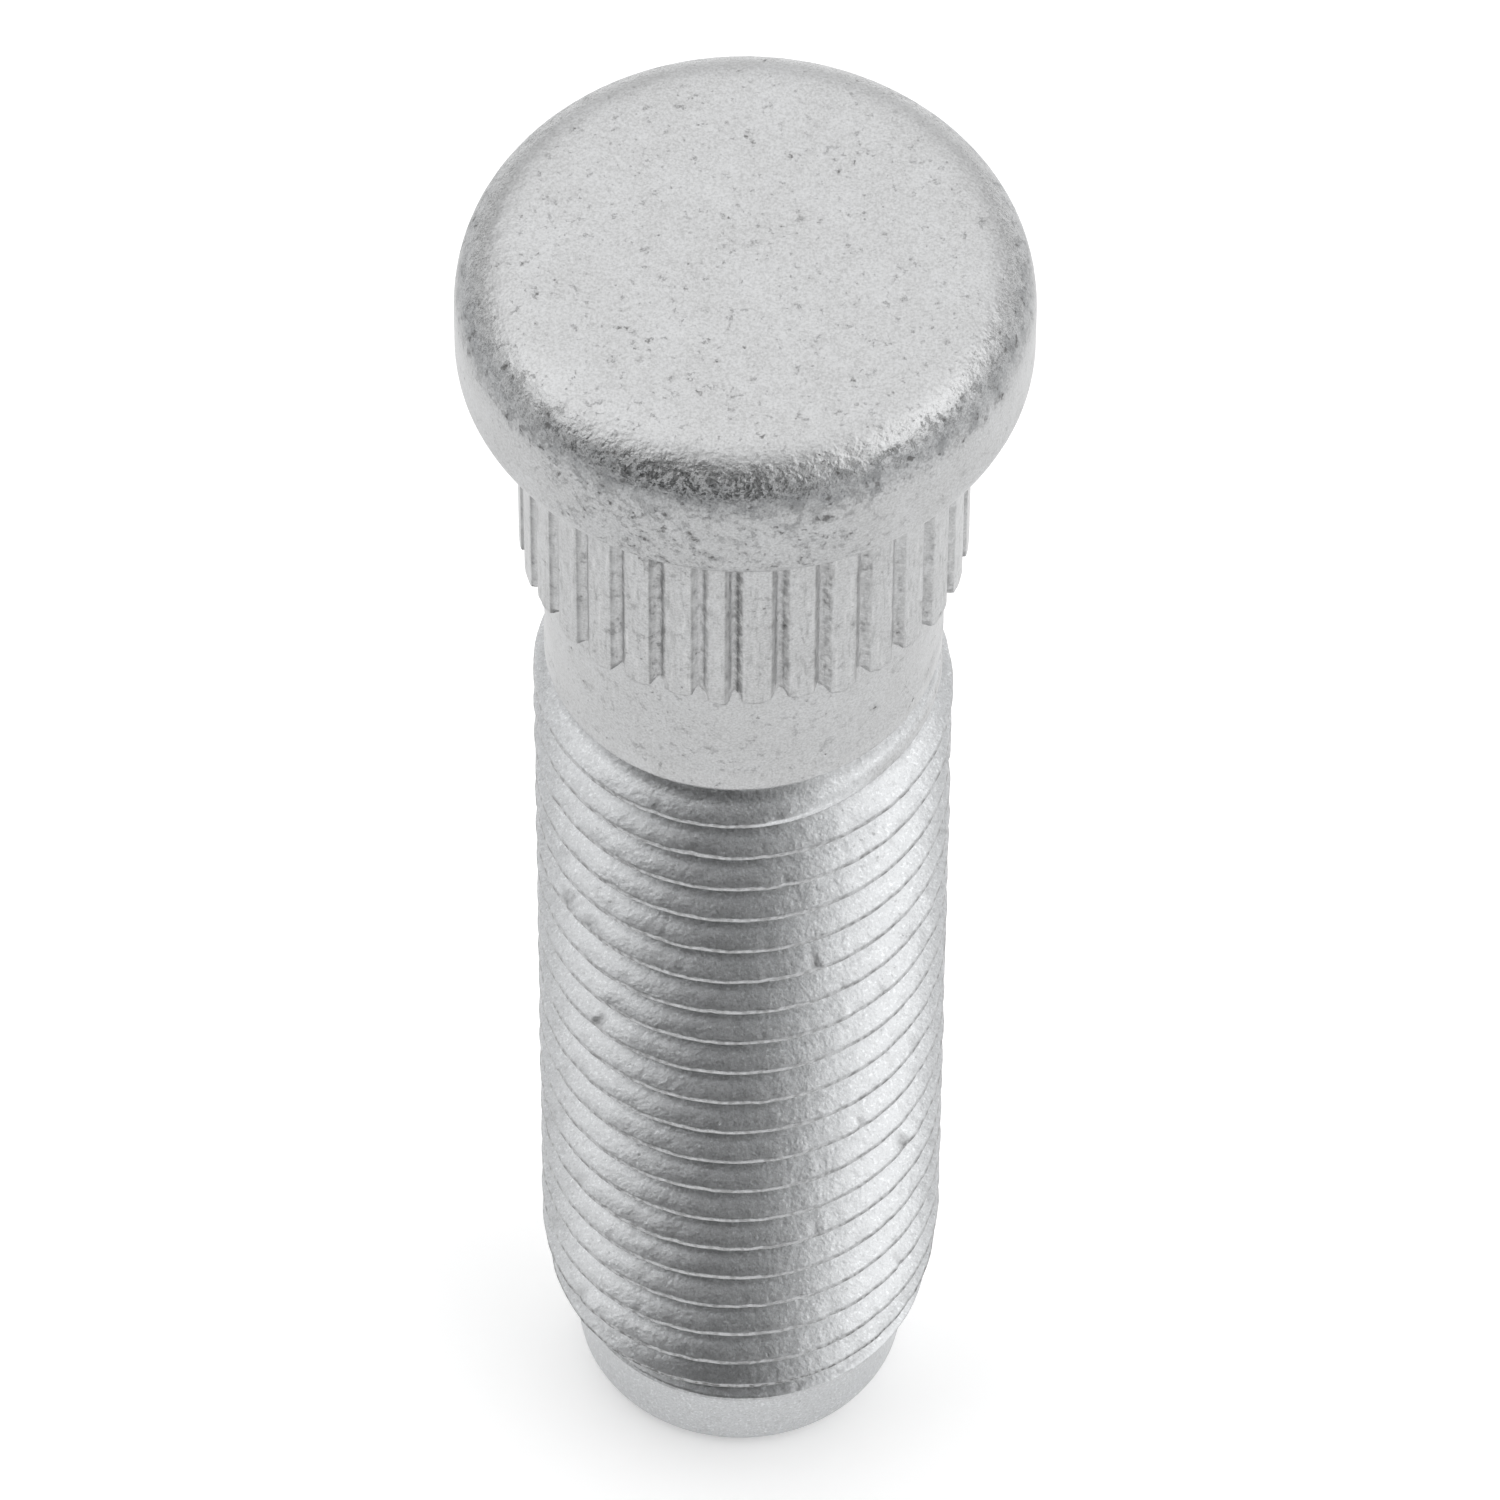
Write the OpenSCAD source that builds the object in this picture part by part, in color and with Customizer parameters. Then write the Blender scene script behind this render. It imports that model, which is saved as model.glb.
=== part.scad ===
// Press-in wheel stud, forged and rolled in one piece.
// Frame: millimetres, +Z along the axis, the flat end of the point at z = 0 and the head on top.

/* [Head] */
// Diameter of the head
head_d = 15.8; // [14:0.1:24]
// Thickness of the head, from its seat to its flat top
head_h = 4.2; // [3.2:0.1:7]
// How far in from the rim the top edge starts to round over
head_round_in = 1.5; // [0.5:0.1:2.5]
// How far down the rim the top edge is rounded
head_round_down = 2.25; // [0.5:0.05:2.4]
// Radius of the rim's lower edge
head_edge_r = 0.65; // [0.2:0.05:0.7]

/* [Serrations] */
// Diameter over the serrations, the press-fit size
serration_d = 12.5; // [12.3:0.05:13.4]
// Length of the serrated shank under the head
serration_len = 8; // [5:0.5:14]
// Number of grooves round the shank
groove_count = 32; // [24:1:36]
// Width of one groove at its mouth
groove_w = 0.5; // [0.3:0.05:0.7]
// Depth of one groove
groove_depth = 0.4; // [0.2:0.05:0.5]
// Length over which the lower ends of the lands run out
land_end_len = 0.6; // [0.3:0.1:1.5]

/* [Neck] */
// Diameter of the plain neck
neck_d = 11.2; // [10.9:0.05:11.5]
// Length of the plain neck
neck_len = 4.4; // [3:0.2:10]

/* [Thread] */
// Diameter over the crests of the thread
thread_d = 11.86; // [11.7:0.01:11.97]
// Distance from one turn to the next
thread_pitch = 1.5; // [1.25:0.25:1.75]
// Length of the thread, from the end of its groove at the neck to the chamfer
thread_len = 31.1; // [15:0.1:60]
// Turns of the groove at the neck before the crest under it is raised
first_groove_turns = 1.4; // [1.1:0.1:2.5]
// Direction in which the groove ends at the neck, in degrees from +X
thread_end_angle = 100; // [0:5:355]

/* [Point] */
// Diameter of the plain point
point_d = 9.75; // [9:0.05:9.9]
// Length of the point, with its chamfer
point_len = 3.5; // [2.5:0.1:6]
// Radius round the flat end of the point
point_r = 0.65; // [0.2:0.05:1]
// Length of the slight taper over the last crests
taper_len = 2.3; // [1:0.1:5]
// How much smaller the taper leaves the thread's radius
taper_drop = 0.3; // [0.1:0.05:0.4]

/* [Hidden] */

head_r = head_d / 2;
serration_r = serration_d / 2;
neck_r = neck_d / 2;
crest_r = thread_d / 2;
point_body_r = point_d / 2;

// Heights of the shoulders, from the flat end up
z_thread = point_len;
z_neck = z_thread + thread_len;
z_serration = z_neck + neck_len;
z_seat = z_serration + serration_len;
z_top = z_seat + head_h;

// Metric thread form: 60 degrees between the flanks, an eighth of a pitch of flat crest
thread_depth = 0.6134 * thread_pitch;
root_r = crest_r - thread_depth;
crest_w = thread_pitch / 8;
root_w = thread_pitch - crest_w - 2 * thread_depth * tan(30);

// How far solids that are joined reach into each other
lap = 0.5;
// Radius of the threaded bar where it is level with the neck, and of its core inside the point
bar_r = neck_r - 0.02;
core_r = point_body_r - 0.25;
// Radius that the taper leaves at the chamfer
taper_r = crest_r - taper_drop;

// Steps of the helix in one turn, and in all, down to just below the chamfer
turn_steps = 32;
helix_steps = round(turn_steps * (thread_len + thread_depth + lap) / thread_pitch);
// Steps over which the last of the groove comes up to the neck, and the depth that it stops at
runout_steps = 8;
runout_depth = 0.05;
// Steps over which the first crest rises
raise_steps = 4;

// Facets of a full circle, and steps of a rounded edge
$fn = 72;
round_steps = 10;

// Part of an ellipse round [cx, cy], from angle a0 to angle a1
function arc_points(cx, cy, rx, ry, a0, a1) =
    [for (i = [0:round_steps]) let (a = a0 + (a1 - a0) * i / round_steps) [cx + rx * cos(a), cy + ry * sin(a)]];

// Flat-topped disc with a wide round over the top and a small one below
module head() {
    color([0.78, 0.79, 0.80]) rotate_extrude() polygon(concat(
        [[0, z_seat]],
        arc_points(head_r - head_edge_r, z_seat + head_edge_r, head_edge_r, head_edge_r, -90, 0),
        arc_points(head_r - head_round_in, z_top - head_round_down, head_round_in, head_round_down, 0, 90),
        [[0, z_top]]));
}

// One straight V groove with a narrow flat floor, cut in the +X side
module serration_groove() {
    reach = serration_r + lap;
    bottom = serration_r - groove_depth;
    floor_half = groove_w / 8;
    mouth_half = floor_half + (groove_w / 2 - floor_half) * (reach - bottom) / groove_depth;
    translate([0, 0, z_serration - lap]) linear_extrude(height = serration_len + 2 * lap)
        polygon([[bottom, -floor_half], [reach, -mouth_half], [reach, mouth_half], [bottom, floor_half]]);
}

// Shank under the head: round lands between the grooves, their lower ends curving in to the neck
module serrations() {
    shoulder_r = (serration_r * 3 + neck_r) / 4;
    color([0.76, 0.76, 0.75]) difference() {
        rotate_extrude() polygon([
            [0, z_serration], [neck_r - 0.1, z_serration],
            [shoulder_r, z_serration + land_end_len / 2], [serration_r, z_serration + land_end_len],
            [serration_r, z_seat + lap], [0, z_seat + lap]]);
        for (i = [0:groove_count - 1]) rotate(360 * i / groove_count) serration_groove();
    }
}

// Plain neck, from above the last of the groove up into the serrations
module neck() {
    low = z_neck + thread_pitch;
    color([0.76, 0.76, 0.75]) translate([0, 0, low]) cylinder(r = neck_r, h = z_serration + lap - low);
}

// Angle and height of a step of the helix: step 0 is at the point, the last one at the neck
function step_angle(k) = thread_end_angle - (helix_steps - k) * 360 / turn_steps;
function step_z(k) = z_neck - root_w / 2 - (helix_steps - k) * thread_pitch / turn_steps;

// Radius of the groove's floor, which comes up almost to the neck over the last steps
function floor_r(k) = root_r + (bar_r - runout_depth - root_r) * max(0, 1 - (helix_steps - k) / runout_steps);

// Radius of the crest above a step: tapered near the point, in full, then level with the neck
function top_r(k) = let (
    below_end = (helix_steps - k) / turn_steps - 1 / 4,
    raised = max(0, min(1, (below_end - first_groove_turns + 1 / 4) * turn_steps / raise_steps)),
    tapered = crest_r - taper_drop * max(0, 1 - (step_z(k) + thread_pitch / 2 - z_thread) / taper_len))
    bar_r + (tapered - bar_r) * raised;

// Height that a 30 degree flank takes from a crest to a floor
function flank_h(top, bottom) = (top - bottom) * tan(30);

// Point i of the bar's outline at step k: the groove's floor, 0 and 1, and the crest above it, 2 and 3
function turn_point(k, i) = let (
    next = min(k + turn_steps, helix_steps),
    r = i < 2 ? floor_r(k) : top_r(k),
    rise = i == 0 ? 0 : i == 1 ? root_w : i == 2 ? root_w + flank_h(r, floor_r(k)) : thread_pitch - flank_h(r, floor_r(next)),
    a = step_angle(k)) [r * cos(a), r * sin(a), step_z(k) + rise];

// Point of a level ring that closes an end of the bar
function ring_point(k, r, z) = [r * cos(step_angle(k)), r * sin(step_angle(k)), z];

// Solid bar with the helical groove: strips of faces wind up it, and a level ring closes each end.
// Point i of step k is number 4 * k + i, and a turn further up it meets the turn above.
module threaded_bar() {
    low = 4 * (helix_steps + 1);
    high = low + turn_steps;
    first = helix_steps - turn_steps + 1;
    z_low = step_z(0) - lap;
    z_high = z_neck + 1.5 * thread_pitch;
    points = concat(
        [for (k = [0:helix_steps]) for (i = [0:3]) turn_point(k, i)],
        [for (k = [0:turn_steps - 1]) ring_point(k, root_r, z_low)],
        [for (k = [first:helix_steps]) ring_point(k, bar_r, z_high)]);
    faces = concat(
        // floor, lower flank and crest of every turn
        [for (k = [0:helix_steps - 1]) for (i = [0:2]) [4 * k + i, 4 * k + i + 1, 4 * k + i + 5, 4 * k + i + 4]],
        // upper flank, from a crest to the floor one turn up
        [for (k = [0:helix_steps - turn_steps - 1])
            [4 * k + 3, 4 * (k + turn_steps), 4 * (k + turn_steps + 1), 4 * k + 7]],
        // from the lower ring to the first turn, with the step where that turn starts
        [for (k = [0:turn_steps - 2]) [low + k, 4 * k, 4 * k + 4, low + k + 1]],
        [[high - 1, 4 * (turn_steps - 1), 4 * turn_steps, 3, 2, 1, 0, low]],
        // from the last turn to the upper ring, with the step where that turn ends
        [for (k = [first:helix_steps - 1]) [4 * k + 3, high + k - first, high + k - first + 1, 4 * k + 7]],
        [[high, 4 * first + 3, 4 * first - 1, for (i = [0:3]) 4 * helix_steps + i, high + turn_steps - 1]],
        [[for (k = [0:turn_steps - 1]) low + k]],
        [[for (k = [turn_steps - 1:-1:0]) high + k]]);
    polyhedron(points = points, faces = faces, convexity = 20);
}

// What the chamfer takes off the lower end of the bar
module chamfer_ring() {
    low = step_z(0) - 2 * lap;
    outer_r = crest_r + 1;
    rotate_extrude() polygon([
        [core_r, low], [outer_r, low], [outer_r, z_thread + outer_r - taper_r], [core_r, z_thread + core_r - taper_r]]);
}

// Rolled thread, from inside the point up to the neck
module thread() {
    color([0.70, 0.71, 0.73]) difference() {
        threaded_bar();
        chamfer_ring();
    }
}

// Plain point with a rounded edge round its flat end
module point() {
    top = z_thread - lap / 2;
    color([0.77, 0.77, 0.77]) rotate_extrude() polygon(concat(
        [[0, 0]],
        arc_points(point_body_r - point_r, point_r, point_r, point_r, -90, 0),
        [[point_body_r, top], [0, top]]));
}

module wheel_stud() {
    union() {
        head();
        serrations();
        neck();
        thread();
        point();
    }
}

wheel_stud();
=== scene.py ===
"""Looks of a press-in wheel stud: one forged and rolled piece of steel under a matt zinc-flake coat.

The stud is one closed surface. Its head, shank and point are level rings, and its thread is a band of
rows that wind up the helix, so that the crests and roots lie on rows of their own.
Sizes are in millimetres, as on a drawing, and are made metres when the mesh is written. A direction is
an angle round the axis in radians, and a side is one in degrees from the camera's side, to the right.
"""

import math

import bpy
import numpy as np
from mathutils import Matrix, Vector


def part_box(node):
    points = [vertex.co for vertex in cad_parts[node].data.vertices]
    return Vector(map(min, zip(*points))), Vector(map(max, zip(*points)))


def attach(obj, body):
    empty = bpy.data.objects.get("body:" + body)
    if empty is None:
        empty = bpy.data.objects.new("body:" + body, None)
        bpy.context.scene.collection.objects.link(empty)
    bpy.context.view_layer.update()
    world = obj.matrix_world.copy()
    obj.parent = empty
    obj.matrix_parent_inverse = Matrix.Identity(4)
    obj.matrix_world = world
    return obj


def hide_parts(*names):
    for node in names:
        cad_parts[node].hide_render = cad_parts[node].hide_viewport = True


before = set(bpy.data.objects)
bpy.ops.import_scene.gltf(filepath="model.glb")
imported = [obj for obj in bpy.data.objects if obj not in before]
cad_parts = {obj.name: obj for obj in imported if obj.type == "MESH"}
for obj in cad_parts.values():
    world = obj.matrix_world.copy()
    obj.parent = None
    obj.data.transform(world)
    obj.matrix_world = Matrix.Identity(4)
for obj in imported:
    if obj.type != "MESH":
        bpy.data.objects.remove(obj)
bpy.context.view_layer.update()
stud_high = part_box("wheel_stud")[1]

MM = 0.001
TURN = 2 * np.pi
FRONT = math.radians(-90)

# Seeds of the random draws
GROOVE_PLACE_SEED = 12
LAND_LENGTH_SEED = 13
FINE_WAVE_SEED = 14
LONG_WAVE_SEED = 15
SMALL_NICK_SEED = 16
GROOVE_DEPTH_SEED = 17
GROOVE_SHADE_SEED = 18

# Head, from the frame's box and the drawing: the round over its top is fuller than a quarter ellipse
TOP_Z = stud_high[2] / MM
HEAD_R = stud_high[0] / MM
HEAD_H = 4.2
HEAD_ROUND_IN = 2.1
HEAD_ROUND_DOWN = 2.25
HEAD_ROUND_POWER = 2.4
HEAD_EDGE_R = 0.65
SEAT_Z = TOP_Z - HEAD_H

# Serrated shank and neck: groove and land sizes, how far a land's end slopes, and how round it is
LAND_R = 6.25
GROOVES = 32
GROOVE_DEPTH = 0.23
GROOVE_DEPTH_SHARE = (0.75, 1.1)
GROOVE_HALF = 0.26
SERRATION_Z = 38.9
LAND_OWN_END = (-0.14, 0.16)
LAND_END = 0.26
LAND_CORNER = 0.38
LAND_ROUND_SHARE = 0.8
NECK_R = 5.6

# Thread: crest and root radius, pitch, half the floor of its groove, and where the groove ends at the neck
CREST_R = 5.93
PITCH = 1.5
DEPTH_IN_PITCHES = 0.6134
ROOT_R = CREST_R - DEPTH_IN_PITCHES * PITCH
ROOT_HALF = 0.125
FLANK_SLOPE = math.tan(math.radians(30))
THREAD_END_Z = 34.6
THREAD_END = math.radians(100)
# The groove's floor comes up to just under the neck over RUNOUT, and the crest rises over a part of a turn
RUNOUT = math.radians(95)
RUNOUT_R = NECK_R - 0.01
CREST_RISE_END = math.radians(1.54 * 360)
CREST_RISE_START = math.radians(1.39 * 360)
# How wide the outline is rounded at a ridge's tip, at a crest's edge, and at the chamfer's top and foot
TIP_ROUND = 0.05
CREST_ROUND = 0.16
CHAMFER_ROUND = 0.08
FOOT_ROUND = 0.05

# Point, chamfer and the taper over the last crests
POINT_R = 4.875
POINT_EDGE_R = 0.65
CHAMFER_Z = 3.5
TAPER_LEN = 2.3
TAPER_DROP = 0.3
CHAMFER_FOOT_Z = CHAMFER_Z - (CREST_R - TAPER_DROP - POINT_R)


def smooth(t):
    """0 below 0, 1 above 1, and 3 t squared minus 2 t cubed between them."""
    t = np.clip(t, 0, 1)
    return t * t * (3 - 2 * t)


def rise(value, start, width):
    """0 up to the start, and 1 from a width above it."""
    return smooth((value - start) / width)


def fall(value, end, width):
    """1 up to a width below the end, and 0 from the end."""
    return smooth((end - value) / width)


def bell(value, middle, width):
    """1 in the middle, e to the minus 1 a width beside it, and 0 further off."""
    return np.exp(-((value - middle) / width) ** 2)


def round_min(a, b, w):
    """The smaller of a and b. Where they differ by less than w, h goes evenly from 0 to 1 and mixes them,
    and w h (1 - h) comes off, so that the corner is rounded over."""
    h = np.clip(0.5 + 0.5 * (b - a) / w, 0, 1)
    return b + (a - b) * h - w * h * (1 - h)


def round_max(a, b, w):
    """The larger of a and b, rounded in the same way."""
    return -round_min(-a, -b, w)


def wrapped(angle):
    """The same angle between half a turn to the left and half a turn to the right."""
    return (angle + np.pi) % TURN - np.pi


def side_of(direction):
    """Degrees from the camera's side, to the right positive."""
    return np.degrees(wrapped(direction - FRONT))


# Waves: they are measured on a cylinder of this radius, and each one's length is a share of the one asked for
WAVES = 18
WAVE_R = 6
WAVE_LENGTH_SHARE = (0.7, 1.5)


def waves(direction, z, length, seed):
    """Sum of plane waves of about the given length over the shank, each in its own direction and phase,
    divided by the root of half their number."""
    rng = np.random.default_rng(seed)
    x, y = WAVE_R * np.cos(direction), WAVE_R * np.sin(direction)
    total = np.zeros(np.broadcast(x, z).shape)
    for _ in range(WAVES):
        way = rng.normal(size=3)
        way *= TURN / (length * rng.uniform(*WAVE_LENGTH_SHARE) * np.linalg.norm(way))
        total += np.sin(way[0] * x + way[1] * y + way[2] * z + rng.uniform(0, TURN))
    return total / math.sqrt(WAVES / 2)


# Columns of the mesh: over a groove's walls and lips, in degrees from its middle, and on the land, in shares
# of its width
GROOVE_COLUMNS = np.radians([-2.5, -2.0, -1.0, 0.0, 1.0, 2.0, 2.5])
LAND_COLUMNS = np.array([0.14, 0.38, 0.62, 0.86])
# Degrees by which any groove is off its place, and by which those right of the narrow space are too far left:
# the shift comes in and fades out on the sides where these steps start, over their widths
GROOVE_SCATTER = 0.3
NARROW_SHIFT = 2.2
NARROW_SIDE = (-7, 5)
NARROW_FADE = (40, 110)


def column_directions():
    """Direction of every column of the mesh, going round, and of every groove's middle. The grooves are a
    little uneven. From the front on they stand closer to the left, which lessens towards the back."""
    rng = np.random.default_rng(GROOVE_PLACE_SEED)
    centres = np.arange(GROOVES) * (TURN / GROOVES)
    side = side_of(centres)
    centres = centres + np.radians(rng.uniform(-GROOVE_SCATTER, GROOVE_SCATTER, GROOVES))
    centres = centres - np.radians(NARROW_SHIFT) * rise(side, *NARROW_SIDE) * (1 - rise(side, *NARROW_FADE))
    gap = np.roll(centres, -1) - centres
    gap[-1] += TURN
    over_groove = centres[:, None] + GROOVE_COLUMNS[None, :]
    land = gap - (GROOVE_COLUMNS[-1] - GROOVE_COLUMNS[0])
    on_land = centres[:, None] + GROOVE_COLUMNS[-1] + land[:, None] * LAND_COLUMNS[None, :]
    return np.concatenate([over_groove, on_land], axis=1).ravel(), centres


COLUMNS, GROOVE_CENTRES = column_directions()
N = len(COLUMNS)


def groove_wall(direction):
    """Height of the shank's outline over a groove's floor, a smooth step from 0 in the groove's middle to 1
    on the lands, the way from the middle in millimetres, to the right positive, and which groove it is."""
    apart = wrapped(direction[:, None] - GROOVE_CENTRES[None, :])
    nearest = np.abs(apart).argmin(axis=1)
    apart = np.take_along_axis(apart, nearest[:, None], axis=1)[:, 0] * LAND_R
    return smooth(np.abs(apart) / GROOVE_HALF), apart, nearest


def land_ends(direction):
    """Height at which each land starts to run out: its own height in its middle, and half an ellipse more
    towards the grooves beside it."""
    own = np.random.default_rng(LAND_LENGTH_SEED).uniform(*LAND_OWN_END, GROOVES)
    place = (direction[:, None] - GROOVE_CENTRES[None, :]) % TURN
    land = place.argmin(axis=1)
    across = np.abs(place.min(axis=1) / (TURN / GROOVES) * 2 - 1)
    bend = 1 - np.sqrt(1 - np.clip(across / LAND_ROUND_SHARE, 0, 1) ** 2)
    return SERRATION_Z + own[land] + LAND_CORNER * bend


def serration_radius(direction, z):
    """Radius of the serrated shank: the neck's, with a smooth step above the ends of the lands up to theirs,
    less the depth of the groove where one is."""
    wall, _, groove = groove_wall(direction)
    share = np.random.default_rng(GROOVE_DEPTH_SEED).uniform(*GROOVE_DEPTH_SHARE, GROOVES)
    depth = GROOVE_DEPTH * share[groove]
    added = rise(z, land_ends(direction), LAND_END)
    return NECK_R + added * (LAND_R - NECK_R - depth * (1 - wall))


def taper_at(z):
    """How far the thread is drawn in at a height: evenly more from the top of the taper to the chamfer."""
    return TAPER_DROP * np.clip(1 - (z - CHAMFER_Z) / TAPER_LEN, 0, 1)


def thread_radius(turned, z, above):
    """Radius of the thread at an unwound direction, a height, and a height above the groove's middle in
    pitches. Two 60 degree flanks rise from the flat floors of this groove and of its next turn up, and the
    smallest of both and the crest is taken, rounded. The taper draws the crest and the flanks in, so the
    last ridges are narrower too, and a 45 degree chamfer cuts them down to the point."""
    left = THREAD_END - turned
    floor_here = ROOT_R + (RUNOUT_R - ROOT_R) * smooth(1 - left / RUNOUT)
    floor_next = ROOT_R + (RUNOUT_R - ROOT_R) * smooth(1 - (left - TURN) / RUNOUT)
    taper = taper_at(z)
    raised = rise(left, CREST_RISE_START, CREST_RISE_END - CREST_RISE_START)
    crest = NECK_R + (CREST_R - taper - nick_depth(turned, z) - NECK_R) * raised
    up = np.maximum((above * PITCH - ROOT_HALF) / FLANK_SLOPE - taper, 0) + floor_here
    down = np.maximum(((1 - above) * PITCH - ROOT_HALF) / FLANK_SLOPE - taper, 0) + floor_next
    outline = round_min(round_min(up, down, TIP_ROUND), crest, CREST_ROUND)
    chamfer = CREST_R - TAPER_DROP + (z - CHAMFER_Z)
    return round_max(round_min(outline, chamfer, CHAMFER_ROUND), POINT_R, FOOT_ROUND)


# Knocks on the crests: side in degrees, height, depth, half length. All are of the same half height
NICKS = ((48, 33.2, 0.08, 0.28), (21, 26.0, 0.09, 0.14), (-60, 25.7, 0.10, 0.25), (-49, 25.7, 0.08, 0.3),
         (-45, 21.1, 0.08, 0.2), (-66, 20.0, 0.08, 0.3), (-61, 17.0, 0.08, 0.25), (12, 29.9, 0.05, 0.12),
         (34, 22.4, 0.06, 0.16), (-20, 12.2, 0.05, 0.2), (55, 14.0, 0.07, 0.25), (140, 24.0, 0.10, 0.4),
         (-120, 15.0, 0.10, 0.4), (100, 9.0, 0.08, 0.3), (-150, 28.0, 0.08, 0.3), (175, 19.0, 0.10, 0.4))
NICK_HALF_HEIGHT = 0.4
# Small ones at random, from this height up: how many, and the ranges of their depth and half length
SMALL_NICKS = 160
SMALL_NICKS_FROM_Z = 5
SMALL_NICK_DEPTH = (0.02, 0.05)
SMALL_NICK_HALF = (0.05, 0.15)
# Waves along the crests: height and length of the fine and the long ones, and the mean of the fine ones
FINE_WAVE = 0.010
FINE_WAVE_LENGTH = 0.7
FINE_WAVE_MEAN = 1.5
LONG_WAVE = 0.005
LONG_WAVE_LENGTH = 4.0


def nick_depth(turned, z):
    """How far a crest is knocked in: slight waves all along, and each knock's depth times e to the minus the
    fourth power of the way along it and the square of the way up it, in its half length and half height."""
    depth = FINE_WAVE * (FINE_WAVE_MEAN + waves(turned, z, FINE_WAVE_LENGTH, FINE_WAVE_SEED))
    depth = depth + LONG_WAVE * waves(turned, z, LONG_WAVE_LENGTH, LONG_WAVE_SEED)
    rng = np.random.default_rng(SMALL_NICK_SEED)
    small = np.stack([rng.uniform(-180, 180, SMALL_NICKS),
                      rng.uniform(SMALL_NICKS_FROM_Z, THREAD_END_Z, SMALL_NICKS),
                      rng.uniform(*SMALL_NICK_DEPTH, SMALL_NICKS),
                      rng.uniform(*SMALL_NICK_HALF, SMALL_NICKS)], axis=1)
    for side, height, deep, half in np.concatenate([NICKS, small]):
        along = wrapped(turned - FRONT - math.radians(side)) * CREST_R
        depth = depth + deep * np.exp(-(along / half) ** 4 - ((z - height) / NICK_HALF_HEIGHT) ** 2)
    return np.maximum(depth, 0)


# Heights of the rows of one turn above its groove's middle, in pitches: root, flank, crest, flank, root
ROWS = np.array([0.06, 0.26, 0.40, 0.445, 0.49, 0.53, 0.575, 0.74, 0.94])
# The winding rows begin at about this height. Below the second one they lie closer, to follow the chamfer:
# the second turn's first row, which would begin lower, then begins a little under the chamfer's foot
ROWS_FROM_Z = -0.3
CLOSE_Z = 3.6
UNDER_FOOT = 0.05


def thread_rows():
    """Points of the winding rows: each step to the next column climbs by its share of the pitch."""
    start_z = THREAD_END_Z + PITCH * (COLUMNS[0] - THREAD_END) / TURN
    turns_below = math.ceil((start_z - ROWS_FROM_Z) / PITCH)
    steps = N * turns_below + int(np.searchsorted(COLUMNS, THREAD_END))
    k = np.arange(steps + 1)
    turned = COLUMNS[k % N] + TURN * (k // N - turns_below)
    groove_z = THREAD_END_Z + PITCH * (turned - THREAD_END) / TURN
    z = groove_z[:, None] + PITCH * ROWS[None, :]
    second_turn_z = z[N, 0]
    closer = (CLOSE_Z - CHAMFER_FOOT_Z + UNDER_FOOT) / (CLOSE_Z - second_turn_z)
    z = np.where(z < CLOSE_Z, CLOSE_Z - (CLOSE_Z - z) * closer, z)
    above = (z - groove_z[:, None]) / PITCH
    turned = turned[:, None] + TURN * np.floor(above)
    return turned, thread_radius(turned, z, above - np.floor(above)), z


# Places of the level rings: radii on the flat end, heights on the point, the neck and the lands, shares of
# the way across the seat and up the head's side, and radii on the head's top
END_RINGS = (1.6, 3.2)
POINT_RING_Z = 0.85
NECK_RINGS_Z = (36.3, 37.3, 38.3, 38.7)
LAND_END_RINGS_Z = np.linspace(38.85, 39.95, 14)
LAND_RINGS_Z = (40.5, 43.4, 46.3, SEAT_Z - 0.06)
SEAT_RINGS = (0.0, 0.05, 0.5)
SIDE_RINGS = (0.35, 0.7)
TOP_RINGS = (5.2, 4.4, 3.0, 1.4)
POINT_EDGE_RINGS = 7
HEAD_EDGE_RINGS = 8
HEAD_ROUND_RINGS = 17


def level_rings(outline):
    """Points of level rings: one ring for each pair of radius and height of the outline."""
    r = np.stack([np.broadcast_to(np.asarray(a, float), (N,)) for a, _ in outline])
    z = np.stack([np.broadcast_to(np.asarray(b, float), (N,)) for _, b in outline])
    return np.broadcast_to(COLUMNS[None, :], r.shape), r, z


def arc(cx, cz, rx, rz, start, end, count, power=2.0):
    """Radius and height of points on a part of an ellipse, from one angle to another in degrees: its
    half width times the cosine, and its half height times the sine, each raised to 2 over the power.
    A power of 2 is a true ellipse, and a higher one fills its corners."""
    points = []
    for a in np.radians(np.linspace(start, end, count)):
        c, s = math.cos(a), math.sin(a)
        across = math.copysign(abs(c) ** (2 / power), c)
        up = math.copysign(abs(s) ** (2 / power), s)
        points.append((cx + rx * across, cz + rz * up))
    return points


def point_outline():
    """Rings of the flat end, its rounded edge and the start of the plain point, from the axis outwards."""
    flat = [(r, 0.0) for r in END_RINGS]
    edge = arc(POINT_R - POINT_EDGE_R, POINT_EDGE_R, POINT_EDGE_R, POINT_EDGE_R, -90, 0, POINT_EDGE_RINGS)
    return flat + edge + [(POINT_R, POINT_RING_Z)]


def shank_outline():
    """Rings of the neck above the thread and of the serrated shank, up to the seat under the head."""
    neck = [(NECK_R, z) for z in NECK_RINGS_Z]
    lands = [(serration_radius(COLUMNS, z), z) for z in np.concatenate([LAND_END_RINGS_Z, LAND_RINGS_Z])]
    return neck + lands


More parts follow.
